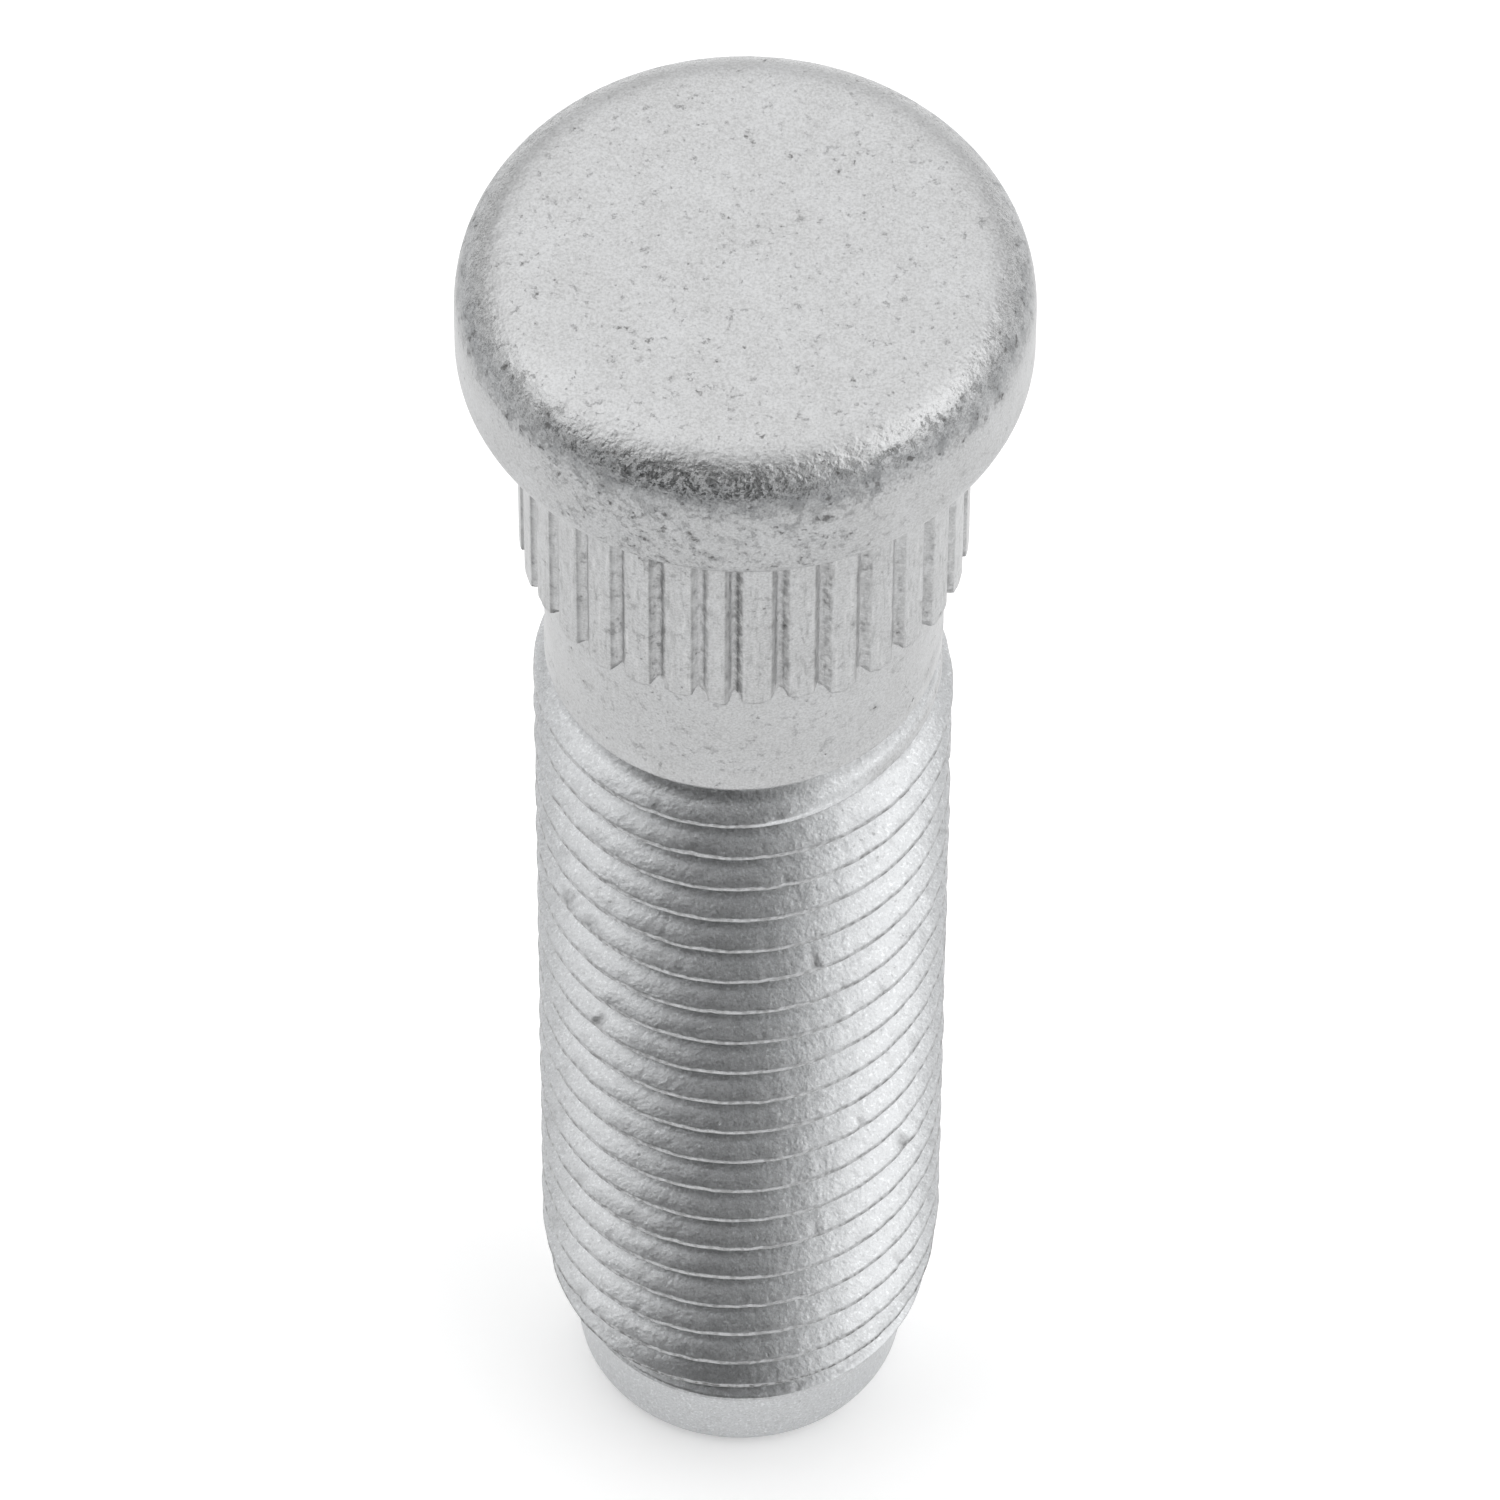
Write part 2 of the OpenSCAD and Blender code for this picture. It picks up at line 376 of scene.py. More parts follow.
def head_outline():
    """Rings of the seat, the rim's lower edge, its side, the wide round over the top and the flat top."""
    edge_r, edge_z = HEAD_R - HEAD_EDGE_R, SEAT_Z + HEAD_EDGE_R
    shank_r = serration_radius(COLUMNS, SEAT_Z)
    seat = [(shank_r * (1 - t) + edge_r * t, SEAT_Z) for t in SEAT_RINGS]
    edge = arc(edge_r, edge_z, HEAD_EDGE_R, HEAD_EDGE_R, -90, 0, HEAD_EDGE_RINGS)
    side = [(HEAD_R, edge_z + t * (HEAD_H - HEAD_EDGE_R - HEAD_ROUND_DOWN)) for t in SIDE_RINGS]
    shoulder = arc(HEAD_R - HEAD_ROUND_IN, TOP_Z - HEAD_ROUND_DOWN, HEAD_ROUND_IN, HEAD_ROUND_DOWN, 0, 90,
                   HEAD_ROUND_RINGS, HEAD_ROUND_POWER)
    top = [(r, TOP_Z) for r in TOP_RINGS]
    return seat + edge + side + shoulder + top


def ring_faces(first, count):
    """Four-cornered faces between a stack of rings of N points, the first of which has the given number."""
    row = np.arange(count - 1)[:, None] * N + first
    c = np.arange(N)[None, :]
    d = (c + 1) % N
    return np.stack([row + c, row + d, row + d + N, row + c + N], axis=-1).reshape(-1, 4)


def fan(corners):
    """Triangles from the last corner of a loop to each of its other sides."""
    return [(corners[-1], a, b) for a, b in zip(corners[:-2], corners[1:-1])]


def stud_surface():
    """All points and faces of the stud, from the middle of its flat end to the middle of its head, and the
    numbers of the first point of the winding rows and of the first ring above them. A point's x and y are
    its radius times the cosine and the sine of its direction."""
    parts = (level_rings(point_outline()), thread_rows(), level_rings(shank_outline() + head_outline()))
    steps, rows = parts[1][1].shape[0] - 1, len(ROWS)
    direction, r, z = (np.concatenate([part[i].reshape(-1) for part in parts]) for i in range(3))
    xyz = np.stack([r * np.cos(direction), r * np.sin(direction), z], axis=1)
    xyz = np.concatenate([xyz, [[0, 0, 0], [0, 0, TOP_Z]]])
    end_point, top_point = len(xyz) - 2, len(xyz) - 1
    low_rings, high_rings = len(parts[0][1]), len(parts[2][1])
    low_last = (low_rings - 1) * N
    wound_first = low_rings * N
    high_first = wound_first + rows * (steps + 1)

    def wound(step, row):
        return wound_first + rows * step + row

    # Faces within a turn, from a turn to the next one up, and from the outer turns to the level rings
    k = np.arange(steps)[:, None]
    i = np.arange(rows - 1)[None, :]
    turns = np.stack([wound(k, i), wound(k + 1, i), wound(k + 1, i + 1), wound(k, i + 1)], axis=-1)
    k = np.arange(steps - N)
    last = rows - 1
    between = np.stack([wound(k, last), wound(k + 1, last), wound(k + N + 1, 0), wound(k + N, 0)], axis=-1)
    k = np.arange(N - 1)
    below = np.stack([low_last + k, low_last + k + 1, wound(k + 1, 0), wound(k, 0)], axis=-1)
    k = np.arange(steps - N + 1, steps)
    above = np.stack([wound(k, last), wound(k + 1, last), high_first + (k + 1) % N, high_first + k % N],
                     axis=-1)
    quads = np.concatenate([ring_faces(0, low_rings), turns.reshape(-1, 4), between, below, above,
                            ring_faces(high_first, high_rings)])

    # The two places where the band of rows begins and ends are closed with fans, and so are both middles
    seam_low = ([low_last + N - 1, low_last] + [wound(0, row) for row in range(rows)]
                + [wound(N, 0), wound(N - 1, 0)])
    seam_high = ([high_first + (steps + 1) % N, high_first + steps % N]
                 + [wound(steps, row) for row in reversed(range(rows))]
                 + [wound(steps - N, last), wound(steps - N + 1, last)])
    c = np.arange(N)
    d = (c + 1) % N
    end_fan = np.stack([np.full(N, end_point), d, c], axis=-1)
    rim = high_first + (high_rings - 1) * N
    top_fan = np.stack([np.full(N, top_point), rim + c, rim + d], axis=-1)
    triangles = np.concatenate([end_fan, top_fan, fan(seam_low), fan(seam_high)])
    return xyz, quads, triangles, wound_first, high_first


# Names of the coat's values at every point: wear, stains, streaks, painted shade and painted light. Most go
# from 0 to 1, and those of the crests, edges and head's stains and shade may pass them
COAT_VALUE_NAMES = ("deep", "edge", "drawn", "crest", "rolled", "stains_and_shade", "rubbed")

# In the wear and painted shade below, a pair is a step's or a bell's: where it starts, ends or has its
# middle, and its width.
# Wear and painted shade of the thread: where it is, painted shade in its roots and a darker colour in its
# knocks, and its crests darkened, partly as wear and partly as painted shade, most on the last few and at the
# sides. A knock counts where it is deep and near the crest
THREAD_TOP = (THREAD_END_Z + 0.3, 0.8)
THREAD_FOOT = (CHAMFER_Z - 0.9, 0.5)
THREAD_STREAKS = 0.45
# Painted shade in the roots, under the crests
ROOT_SHADE = 0.4
ROOT_SHADE_R = (5.52, 0.3)
KNOCK_DARKER = 0.22
KNOCK_DEEP = (0.04, 0.03)
KNOCK_NEAR_CREST = (-0.16, 0.08)
# Crests darkened partly as wear and partly as painted shade: a painted shade line under the side crests, and
# a dimmed highlight on the last ones
CREST_WORN_AND_SHADED = (-0.05, 0.05)
CREST_WEAR_AND_SHADE = 0.85
LAST_CRESTS_MORE = 0.6
LAST_CRESTS_Z = (6.8, 2.4)
SIDE_CRESTS_MORE = 0.25
SIDE_CRESTS = (12, 25)
ROLLED_OVER_NECK = (NECK_R + 0.01, 0.05)
ROLLED_UNDER_R = NECK_R - 0.02
# The point gets the rolled coat's lighter grey as painted light, against the shaded floor that it mirrors
POINT_PAINTED_LIGHT = 0.9
POINT_PAINTED_LIGHT_Z = (CHAMFER_Z, 0.5)


def thread_wear_and_shade(direction, r, z):
    """Values on the winding rows: where the thread is, how deep a point lies in a root or a knock, for
    painted shade in the roots and a darker colour in the knocks, how near a crest it is, for crests darkened
    partly as wear and partly as painted shade, stronger on the last crests and at the sides, and where the
    coat was rolled smooth."""
    on_thread = fall(z, *THREAD_TOP) * rise(z, *THREAD_FOOT)
    knock = nick_depth(direction, z)
    to_crest = r - (CREST_R - taper_at(z)) + knock
    root = fall(r, *ROOT_SHADE_R)
    knocked = rise(knock, *KNOCK_DEEP) * rise(to_crest, *KNOCK_NEAR_CREST)
    # painted shade in the roots, and a darker colour in the knocks
    deep = np.maximum(ROOT_SHADE * root, KNOCK_DARKER * knocked) * on_thread
    at_side = rise(np.abs(side_of(direction)), *SIDE_CRESTS)
    # crests darker on the last turns and at the sides, partly wear and partly painted shade
    crest_wear_and_shade = CREST_WEAR_AND_SHADE + LAST_CRESTS_MORE * fall(z, *LAST_CRESTS_Z) + SIDE_CRESTS_MORE * at_side
    crest = rise(to_crest, *CREST_WORN_AND_SHADED) * on_thread * crest_wear_and_shade
    rolled = on_thread * (rise(r, *ROLLED_OVER_NECK) + (r < ROLLED_UNDER_R))
    return on_thread, deep, crest, rolled


# Painted shade and streaks of the serrated shank: painted shade above the lands' ends, on each groove's right
# wall in its own amount, a painted shadow line along its left lip, and a painted shadow line round the foot
# of each land. Ways across a groove are from its middle
SHANK_FROM_Z = SERRATION_Z - 0.6
SEAT_REACH = 0.01
SHANK_REACH = 0.05
GROOVE_SHADE_ABOVE = 0.1
GROOVE_SHADE_WIDTH = 0.2
OWN_WALL_SHADE = (0.6, 1.1)
WALL_SHADE_FROM = (-0.05, 0.10)
WALL_SHADE_TO = (0.28, 0.08)
LIP_SHADOW = 0.9
LIP_SHADOW_PLACE = (-0.22, 0.03)
FOOT_SHADOW_ABOVE = 0.03
FOOT_SHADOW_WIDTH = 0.11
DRAWN_FROM_Z = (SERRATION_Z + 0.1, 0.4)


def groove_shade_and_streaks(direction, r, z, darker_front_and_back):
    """Values on the serrated shank: painted shade on the right wall of each groove, a painted shadow line
    along its left lip and round the foot of each land, and streaks where the shank was drawn through the die."""
    wall, apart, groove = groove_wall(direction)
    ends = land_ends(direction)
    shank = (z > SHANK_FROM_Z) * (z < SEAT_Z + SEAT_REACH) * (r < LAND_R + SHANK_REACH)
    in_groove = rise(z, ends + GROOVE_SHADE_ABOVE, GROOVE_SHADE_WIDTH) * shank
    own_wall_shade = np.random.default_rng(GROOVE_SHADE_SEED).uniform(*OWN_WALL_SHADE, GROOVES)[groove]
    # painted shade on each groove's right wall, more at the front and the back
    right_wall_shade = in_groove * rise(apart, *WALL_SHADE_FROM) * fall(apart, *WALL_SHADE_TO) * own_wall_shade * darker_front_and_back
    # painted shadow lines along each groove's left lip and under each land's end
    lip_shadow = LIP_SHADOW * in_groove * bell(apart, *LIP_SHADOW_PLACE)
    foot_shadow = bell(z, ends + FOOT_SHADOW_ABOVE, FOOT_SHADOW_WIDTH) * wall * shank
    drawn = rise(z, *DRAWN_FROM_Z) * shank
    return right_wall_shade, np.maximum(lip_shadow, foot_shadow), drawn


# Stains and painted shade of the head: stains on its side, with painted shade at its front and back, and a
# ring of painted shade round its shoulder that is darker within some degrees of the left back, by the cosine
# of the way from there. The shank's stains are faint, and the top has fewer
HEAD_FROM_R = (LAND_R + 0.4, 0.5)
SIDE_STAIN_AND_SHADE = 0.62
SIDE_STAIN_AND_SHADE_Z = (TOP_Z - 0.5, 0.8)
# Ring of painted shade round the shoulder, darker at the left back
RING_SHADE = 1.7
RING_Z = (TOP_Z - 0.95, 0.42)
RING_ROUND = 0.95
RING_LEFT_BACK_MORE = 0.45
LEFT_BACK = -120
LEFT_BACK_COSINE = (0.3, 0.5)
SHANK_STAIN = 0.25
SHANK_STAIN_FROM_Z = THREAD_END_Z + 0.4
TOP_CLEANER = 0.5
FLAT_TOP_Z = TOP_Z - 0.01
FLAT_TOP_R = HEAD_R - 1.6
RUBBED_FROM_Z = (TOP_Z - 1.5, 0.8)


def head_wear_and_shade(r, z, side, darker_front_and_back):
    """Values on the head: stains on its side, with painted shade at its front and back, a ring of painted
    shade round its shoulder, darkest at the left back, and the shoulder and top rubbed smooth. The shank is a
    little stained too, and the top less than not."""
    head = rise(r, *HEAD_FROM_R)
    left_back = rise(np.cos(np.radians(side - LEFT_BACK)), *LEFT_BACK_COSINE)
    # ring of painted shade round the shoulder, darker at the left back
    ring = bell(z, *RING_Z) * (RING_ROUND + RING_LEFT_BACK_MORE * left_back)
    stains_and_shade = head * (SIDE_STAIN_AND_SHADE * darker_front_and_back * fall(z, *SIDE_STAIN_AND_SHADE_Z) + RING_SHADE * ring)
    shank = (z > SHANK_STAIN_FROM_Z) * (z < SEAT_Z)
    flat_top = (z > FLAT_TOP_Z) * (r < FLAT_TOP_R)
    rubbed = head * rise(z, *RUBBED_FROM_Z)
    return stains_and_shade + SHANK_STAIN * shank - TOP_CLEANER * flat_top, rubbed


# How much less painted shade and stain the sides have than the front, on the camera's side, and the back:
# from how many degrees to the right and to the left of the front, over how many degrees, and where that ends
# towards the back
SIDES_LESS_SHADE = 0.6
SIDES_LESS_SHADE_RIGHT = 14
SIDES_LESS_SHADE_LEFT = 30
SIDES_LESS_SHADE_WIDTH = 20
SIDES_LESS_SHADE_END = (80, 60)


def coat_values_at_points(xyz, wound_first, high_first):
    """The coat's values at every point, by name. The sides have less painted shade and stain than the front
    and the back.
    """
    direction = np.arctan2(xyz[:, 1], xyz[:, 0])
    side = side_of(direction)
    r, z = np.hypot(xyz[:, 0], xyz[:, 1]), xyz[:, 2]
    off_front = np.where(side > 0, side - SIDES_LESS_SHADE_RIGHT, -side - SIDES_LESS_SHADE_LEFT)
    # painted shade, and stain on the head's side, is stronger at the front and the back than at the sides
    darker_front_and_back = 1 - SIDES_LESS_SHADE * smooth(off_front / SIDES_LESS_SHADE_WIDTH) * (1 - rise(np.abs(side), *SIDES_LESS_SHADE_END))
    right_wall_shade, edge, drawn = groove_shade_and_streaks(direction, r, z, darker_front_and_back)
    stains_and_shade, rubbed = head_wear_and_shade(r, z, side, darker_front_and_back)
    deep, crest, rolled = np.zeros((3, len(xyz)))
    thread = slice(wound_first, high_first)
    values = thread_wear_and_shade(direction[thread], r[thread], z[thread])
    on_thread, deep[thread], crest[thread], rolled[thread] = values
    drawn[thread] = THREAD_STREAKS * on_thread
    deep = np.maximum(deep, right_wall_shade)
    # painted light: the point below the chamfer gets the rolled coat's lighter grey
    rolled = np.clip(np.maximum(rolled, POINT_PAINTED_LIGHT * fall(z, *POINT_PAINTED_LIGHT_Z)), 0, 1)
    return dict(zip(COAT_VALUE_NAMES, (deep, edge, drawn, crest, rolled, stains_and_shade, rubbed)))


def make_stud():
    """Writes the surface into one mesh, in metres, with the coat's values at its points."""
    xyz, quads, triangles, wound_first, high_first = stud_surface()
    coat_values = coat_values_at_points(xyz, wound_first, high_first)
    mesh = bpy.data.meshes.new("stud")
    corners = np.concatenate([quads.reshape(-1), triangles.reshape(-1)])
    sizes = np.concatenate([np.full(len(quads), 4), np.full(len(triangles), 3)])
    mesh.vertices.add(len(xyz))
    mesh.vertices.foreach_set("co", (xyz * MM).astype(np.float32).reshape(-1))
    mesh.loops.add(len(corners))
    mesh.loops.foreach_set("vertex_index", corners.astype(np.int32))
    mesh.polygons.add(len(sizes))
    mesh.polygons.foreach_set("loop_start", (np.cumsum(sizes) - sizes).astype(np.int32))
    mesh.update(calc_edges=True)
    mesh.validate()
    mesh.polygons.foreach_set("use_smooth", np.ones(len(mesh.polygons), bool))
    for name, values in coat_values.items():
        mesh.attributes.new(name, "FLOAT", "POINT").data.foreach_set("value", values.astype(np.float32))
    stud = bpy.data.objects.new("stud", mesh)
    bpy.context.scene.collection.objects.link(stud)
    return stud


class Nodes:
    """Short way to write a node tree. An input of a node is a value or the output of another node."""

    def __init__(self, tree):
        self.tree = tree
        tree.nodes.clear()

    def add(self, kind, inputs=None, **settings):
        node = self.tree.nodes.new(kind)
        for name, value in settings.items():
            setattr(node, name, value)
        for name, value in (inputs or {}).items():
            if isinstance(value, bpy.types.NodeSocket):
                self.tree.links.new(value, node.inputs[name])
            else:
                node.inputs[name].default_value = value
        return node

    def math(self, operation, a, b, clamp=False):
        return self.add("ShaderNodeMath", {0: a, 1: b}, operation=operation, use_clamp=clamp).outputs[0]

    def plus(self, a, b):
        return self.math("ADD", a, b)

    def times(self, a, b):
        return self.math("MULTIPLY", a, b)

    def vector(self, operation, a, b, output=0):
        return self.add("ShaderNodeVectorMath", {0: a, 1: b}, operation=operation).outputs[output]

    def mix(self, share, a, b):
        """The first colour, with the given share of the second one over it."""
        return self.add("ShaderNodeMix", {0: share, 6: a, 7: b}, data_type="RGBA").outputs[2]

    def noise(self, where, size, detail, rough):
        """Noise with features of about the given size in millimetres."""
        return self.add("ShaderNodeTexNoise", {"Vector": where, "Scale": 1 / (size * MM), "Detail": detail,
                                               "Roughness": rough}).outputs["Fac"]

    def ramp(self, value, low, high, to_low=0.0, to_high=1.0):
        """Smooth step from one level, where the value is at low, to another, where it is at high."""
        return self.add("ShaderNodeMapRange", {0: value, 1: low, 2: high, 3: to_low, 4: to_high},
                        interpolation_type="SMOOTHSTEP").outputs[0]


def grey(level, warmth=0.0):
    """A linear grey, warm over 0 and cool under 0."""
    return (level * (1 + warmth), level, level * (1 - warmth), 1.0)


# Greys of the coat
COAT_DARKER = grey(0.45, -0.004)
COAT_LIGHTER = grey(0.49, -0.008)
# Lighter grey of the rolled thread, and painted light on the point
COAT_ROLLED_AND_POINT_LIGHT = grey(0.60, -0.018)
FLAKE_LIGHT = grey(0.78, -0.012)
FLAKE_DARK = grey(0.30)
GLINT = grey(0.92, -0.018)
# Stains, and painted shade in the head's shoulder ring and on its front and back
STAIN_AND_SHADE = grey(0.18, -0.04)
FAINT_STAIN = grey(0.26, 0.01)
# Cool mottling over the head's stains and painted shade
MOTTLE = grey(0.17, -0.08)
BLOT = grey(0.17, -0.01)
PIT = grey(0.12, 0.02)
STREAK_DARK = grey(0.18)
STREAK_LIGHT = grey(0.72)
# Crests darkened by wear and painted shade, painted shade in the roots and grooves with darker knocks, and
# painted shadow lines
WORN_AND_SHADED_CREST = grey(0.17)
RECESS_SHADE = grey(0.13)
LINE_SHADOW = grey(0.12)
# Noises of the coat: size of the features in millimetres, detail and roughness
FLAKES = (0.07, 3.0, 0.65)
SPARKS = (0.09, 2.0, 0.6)
HAMMERING = (0.13, 3.0, 0.6)
STREAKS = (0.13, 3.0, 0.6)
CHIPS = (0.18, 3.0, 0.6)
PITTING = (0.22, 2.0, 0.55)
BLOTS = (0.26, 6.0, 0.72)
WAVINESS = (0.40, 2.0, 0.5)
STAINING = (0.55, 5.0, 0.62)
CLOUDS = (1.6, 4.0, 0.6)
# Streaks are noise that is drawn out along the stud
ALONG_STUD = (1.0, 1.0, 0.14)
# Steps of the coat's layers: two levels of a noise or a value, and what they become if it isn't 0 and 1
CLOUD_STEP = (0.35, 0.7)
LIGHT_FLAKE_STEP = (0.35, 0.7, 0.0, 0.38)
DARK_FLAKE_STEP = (0.5, 0.28, 0.0, 0.30)
GLINT_STEP = (0.53, 0.72, 0.0, 0.6)
FAINT_STAIN_STEP = (0.56, 0.78, 0.0, 0.25)
MOTTLE_STEP = (0.46, 0.66, 0.0, 0.26)
MOTTLE_WHERE_STAINED_AND_SHADED = (0.3, 1.0)
BLOT_STEP = (0.76, 0.94, 0.0, 0.42)
BLOTS_WHERE_STAINED_AND_SHADED = (0.0, 1.0, -0.3, 0.8)
PIT_STEP = (0.64, 0.76)
PITS_IN_STAINS = (0.48, 0.62)
PITS_WHERE_STAINED_AND_SHADED = (0.3, 0.6, 0.0, 0.09)
PITS_WHERE_ROLLED = (0.0, 1.0, 1.0, 0.35)
DARK_STREAK_STEP = (0.52, 0.72, 0.0, 0.34)
LIGHT_STREAK_STEP = (0.46, 0.28, 0.0, 0.34)
CHIP_STEP = (0.40, 0.64, 0.28, 0.82)
RECESS_SHADE_STEP = (0.40, 0.56, 0.12, 1.0)
LINE_SHADOW_STEP = (0.35, 0.6, 0.35, 0.7)
ROUGH_STEP = (0.3, 0.7, 0.33, 0.44)
# Shares of layers, what the stain noise and the head's stains and painted shade, less the rolled coat, add to
# the blots, and changes of the roughness
STAIN_AND_SHADE_SHARE = 0.31
PIT_SHARE = 0.75
RECESS_SHADE_SHARE = 0.75
BLOTS_BY_STAINS = 0.35
BLOTS_BY_STAINS_AND_SHADE = 0.085
RUBBED_SMOOTHER = -0.10
PITS_ROUGHER = 0.2
# Relief: how far it stands out in millimetres, the parts of its height, and how strong it is where the coat
# is rolled, rubbed, stained and shaded, and in the head's ring of painted shade. The mean of its noises comes
# off before that, so that a change of its strength doesn't tilt the surface
RELIEF = 0.022
HAMMERING_HEIGHT = 0.75
CLOUD_HEIGHT = 1.3
RELIEF_MEAN = 1.5
PIT_DEPTH = 0.6
BLOT_DEPTH_STEP = (0.74, 0.86, 0.0, 0.5)
RELIEF_ROLLED = (0.0, 1.0, 1.0, 0.75)
RELIEF_RUBBED = (0.0, 1.0, 1.0, 1.6)
RELIEF_STAINED_AND_SHADED = (0.3, 0.6, 1.0, 1.4)
RELIEF_IN_RING = (0.8, 1.6, 1.0, 0.5)
COAT_METAL = 0.85


def zinc_flake_coat():
    """Matt silver coat: fine metal flakes, faint clouds, small pits, stains and painted shade on the head,
    painted shade in the roots and grooves with painted shadow lines, a brighter rolled thread with crests
    darkened by wear and painted shade, and the point painted lighter."""
    material = bpy.data.materials.new("zinc_flake_coat")
    material.use_nodes = True
    n = Nodes(material.node_tree)
    where = n.add("ShaderNodeTexCoord").outputs["Object"]
    # deep is painted shade in the roots and grooves with darker knocks, edge is painted shadow lines, and
    # crest is wear and painted shade on the crests
    deep, edge, drawn, crest, rolled, stains_and_shade, rubbed = (
        n.add("ShaderNodeAttribute", attribute_name=name).outputs["Fac"] for name in COAT_VALUE_NAMES)
    flakes, sparks, hammered, chips, pitted, blots, waved, stains, clouds = (
        n.noise(where, *noise)
        for noise in (FLAKES, SPARKS, HAMMERING, CHIPS, PITTING, BLOTS, WAVINESS, STAINING, CLOUDS))
    streaks = n.noise(n.vector("MULTIPLY", where, ALONG_STUD), *STREAKS)

    # Pits: more of them where the head has stains and painted shade, and fainter on the thread
    pits = n.ramp(n.plus(pitted, n.ramp(stains_and_shade, *PITS_WHERE_STAINED_AND_SHADED)), *PIT_STEP)
    pits = n.times(n.times(pits, n.ramp(stains, *PITS_IN_STAINS)), n.ramp(rolled, *PITS_WHERE_ROLLED))
    # Blots: wider where the coat has stains and painted shade, and narrower on the thread
    wider = n.math("SUBTRACT", n.ramp(stains_and_shade, *BLOTS_WHERE_STAINED_AND_SHADED), rolled)
    spread = n.plus(n.plus(blots, n.times(stains, BLOTS_BY_STAINS)), n.times(wider, BLOTS_BY_STAINS_AND_SHADE))

    # Bare coat with its clouds and flakes
    colour = n.mix(n.ramp(clouds, *CLOUD_STEP), COAT_DARKER, COAT_LIGHTER)
    # lighter on the rolled thread, and painted light on the point
    colour = n.mix(rolled, colour, COAT_ROLLED_AND_POINT_LIGHT)
    # stains, and painted shade in the head's shoulder ring and on its front and back
    colour = n.mix(n.times(stains_and_shade, STAIN_AND_SHADE_SHARE), colour, STAIN_AND_SHADE)
    colour = n.mix(n.ramp(flakes, *LIGHT_FLAKE_STEP), colour, FLAKE_LIGHT)
    colour = n.mix(n.ramp(flakes, *DARK_FLAKE_STEP), colour, FLAKE_DARK)
    colour = n.mix(n.times(rolled, n.ramp(sparks, *GLINT_STEP)), colour, GLINT)
    # Stains, blots and pits, and a cool mottling over the head's stains and painted shade, most in its ring
    # of painted shade
    mottled = n.times(n.ramp(stains_and_shade, *MOTTLE_WHERE_STAINED_AND_SHADED), n.ramp(stains, *MOTTLE_STEP))
    colour = n.mix(n.ramp(stains, *FAINT_STAIN_STEP), colour, FAINT_STAIN)
    colour = n.mix(mottled, colour, MOTTLE)
    colour = n.mix(n.ramp(spread, *BLOT_STEP), colour, BLOT)
    colour = n.mix(n.times(pits, PIT_SHARE), colour, PIT)
    # Streaks of the serrations and the thread, crests darkened by wear and painted shade, painted shade in
    # the roots and grooves, darker knocks, and painted shadow lines along the grooves' lips and the lands'
    # feet
    colour = n.mix(n.times(drawn, n.ramp(streaks, *DARK_STREAK_STEP)), colour, STREAK_DARK)
    colour = n.mix(n.times(drawn, n.ramp(streaks, *LIGHT_STREAK_STEP)), colour, STREAK_LIGHT)
    colour = n.mix(n.times(crest, n.ramp(chips, *CHIP_STEP)), colour, WORN_AND_SHADED_CREST)
    recess_shade = n.times(deep, n.ramp(blots, *RECESS_SHADE_STEP))
    colour = n.mix(n.times(recess_shade, RECESS_SHADE_SHARE), colour, RECESS_SHADE)
    colour = n.mix(n.times(edge, n.ramp(stains, *LINE_SHADOW_STEP)), colour, LINE_SHADOW)

    # Smoother where it is rubbed, and rougher in the pits
    rough = n.plus(n.ramp(flakes, *ROUGH_STEP), n.times(rubbed, RUBBED_SMOOTHER))
    rough = n.math("ADD", rough, n.times(pits, PITS_ROUGHER), clamp=True)
    # Relief: waves, hammering and clouds, less the pits and blots, and its strength from place to place
    relief = n.plus(n.plus(waved, n.times(hammered, HAMMERING_HEIGHT)), n.times(clouds, CLOUD_HEIGHT))
    for less in (RELIEF_MEAN, n.times(pits, PIT_DEPTH), n.ramp(spread, *BLOT_DEPTH_STEP)):
        relief = n.math("SUBTRACT", relief, less)
    for value, strength in ((rolled, RELIEF_ROLLED), (rubbed, RELIEF_RUBBED), (stains_and_shade, RELIEF_STAINED_AND_SHADED),
                            (stains_and_shade, RELIEF_IN_RING)):
        relief = n.times(relief, n.ramp(value, *strength))
    bump = n.add("ShaderNodeBump", {"Strength": 1.0, "Distance": RELIEF * MM, "Height": relief})
    surface = n.add("ShaderNodeBsdfPrincipled", {"Base Color": colour, "Roughness": rough,
                                                 "Metallic": COAT_METAL, "Normal": bump.outputs["Normal"]})
    n.add("ShaderNodeOutputMaterial", {"Surface": surface.outputs[0]})
    return material


# The photograph's camera: found by fitting the stud's outline and thread, for a picture 1500 pixels wide
CAMERA_ELEVATION = math.radians(53.66)
CAMERA_DISTANCE = 352.0
CAMERA_FOCUS_PX = 12392.0
CAMERA_ROLL = math.radians(0.347)
PICTURE_PX = 1500
SENSOR_WIDTH = 36.0
NEAREST_SEEN_M = 0.01
LOOK_AT = Vector((0.2, 0.0, 28.66))


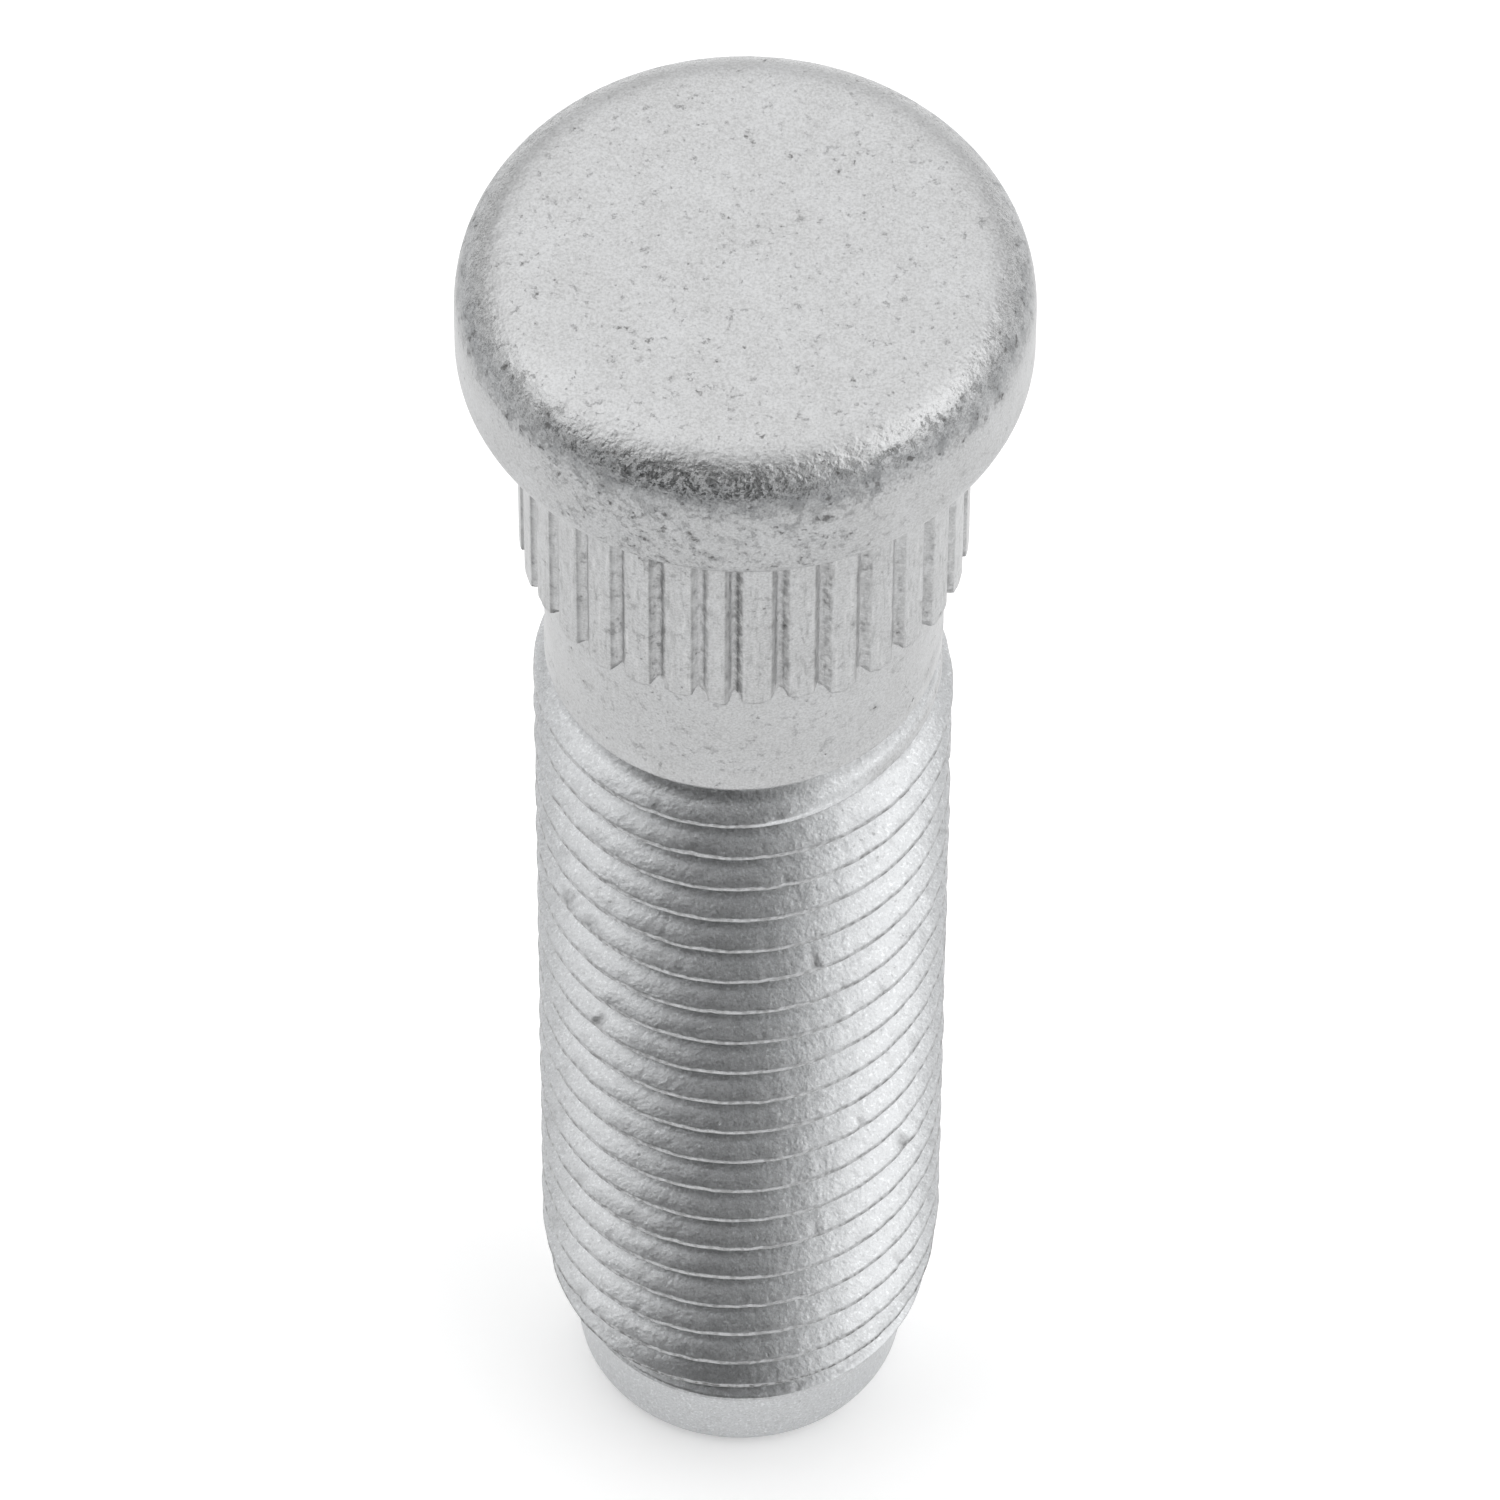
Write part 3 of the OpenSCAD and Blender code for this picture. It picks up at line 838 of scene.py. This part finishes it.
def make_camera():
    """Camera at the photograph's place, looking down on the stud, turned by its slight roll."""
    data = bpy.data.cameras.new("camera")
    data.sensor_width = SENSOR_WIDTH
    data.lens = CAMERA_FOCUS_PX * SENSOR_WIDTH / PICTURE_PX
    data.clip_start = NEAREST_SEEN_M
    camera = bpy.data.objects.new("camera", data)
    bpy.context.scene.collection.objects.link(camera)
    away = Vector((0, -math.cos(CAMERA_ELEVATION), math.sin(CAMERA_ELEVATION)))
    place = Vector((0, 0, LOOK_AT.z)) + away * CAMERA_DISTANCE
    forward = (LOOK_AT - place).normalized()
    side = forward.cross(Vector((0, 0, 1))).normalized()
    up = side.cross(forward)
    c, s = math.cos(CAMERA_ROLL), math.sin(CAMERA_ROLL)
    right, top = side * c + up * s, up * c - side * s
    turn = Matrix((right, top, -forward)).transposed().to_4x4()
    camera.matrix_world = Matrix.Translation(place * MM) @ turn
    bpy.context.scene.camera = camera


# Room: even white with dark sides, the main one where the camera stands, and softboxes. Each is a disc with
# a soft edge: side and elevation of its middle, radius of its full part and of its edge, all in degrees, and
# its strength, which for a dark side is the share of the light that it takes
ROOM_LEVEL = 0.95
DARK_SIDES = ((-24, 0, 42, 58, 0.99), (-20, 16, 34, 50, 0.91), (0, 58, 15, 40, 0.75), (-130, 0, 26, 52, 0.46),
              (132, 0, 20, 46, 0.33), (180, 2, 20, 38, 0.28))
SOFTBOXES = ((73, 42, 14, 36, 0.86), (-96, 45, 12, 45, 0.50), (180, 58, 16, 60, 0.40))


def pointing(side, elevation):
    """Unit vector at degrees to the right of the camera's side and degrees up."""
    a, e = math.radians(side), math.radians(elevation)
    return (math.sin(a) * math.cos(e), -math.cos(a) * math.cos(e), math.sin(e))


def make_room():
    """World of even soft light, less its darkest dark side in any direction, plus all its softboxes."""
    world = bpy.data.worlds.new("room")
    world.use_nodes = True
    bpy.context.scene.world = world
    n = Nodes(world.node_tree)
    where = n.add("ShaderNodeTexCoord").outputs["Generated"]

    def disc(side, elevation, full, none, strength):
        near = n.vector("DOT_PRODUCT", where, pointing(side, elevation), output=1)
        return n.ramp(near, math.cos(math.radians(none)), math.cos(math.radians(full)), 0.0, strength)

    dark = 0.0
    for place in DARK_SIDES:
        dark = n.math("MAXIMUM", dark, disc(*place))
    level = n.math("SUBTRACT", ROOM_LEVEL, n.times(dark, ROOM_LEVEL))
    for place in SOFTBOXES:
        level = n.plus(level, disc(*place))
    light = n.add("ShaderNodeBackground", {"Color": grey(1.0), "Strength": level}).outputs[0]
    n.add("ShaderNodeOutputWorld", {"Surface": light})


# Floor: half its width in metres, its grey, and the light that lifts it to white where it is seen
FLOOR_HALF = 6.0
FLOOR_LEVEL = 0.90
FLOOR_LIFT = 0.28


def make_floor():
    """Pale matt floor under the flat end, lifted to white for the camera and for mirrors, with its shadow."""
    mesh = bpy.data.meshes.new("floor")
    h = FLOOR_HALF
    mesh.from_pydata([(-h, -h, 0), (h, -h, 0), (h, h, 0), (-h, h, 0)], [], [(0, 1, 2, 3)])
    floor = bpy.data.objects.new("floor", mesh)
    bpy.context.scene.collection.objects.link(floor)
    material = bpy.data.materials.new("floor")
    material.use_nodes = True
    n = Nodes(material.node_tree)
    matt = n.add("ShaderNodeBsdfDiffuse", {"Color": grey(FLOOR_LEVEL)}).outputs[0]
    path = n.add("ShaderNodeLightPath").outputs
    mirrored = n.math("MAXIMUM", path["Is Glossy Ray"], path["Is Transmission Ray"])
    seen = n.math("MAXIMUM", path["Is Camera Ray"], mirrored)
    lift = n.add("ShaderNodeEmission", {"Strength": n.times(seen, FLOOR_LIFT)}).outputs[0]
    lifted = n.add("ShaderNodeAddShader", {0: matt, 1: lift}).outputs[0]
    n.add("ShaderNodeOutputMaterial", {"Surface": lifted})
    mesh.materials.append(material)


make_camera()
stud = make_stud()
stud.data.materials.append(zinc_flake_coat())
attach(stud, "root")
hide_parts("wheel_stud")
make_room()
make_floor()

bpy.context.scene.view_settings.view_transform = "Standard"
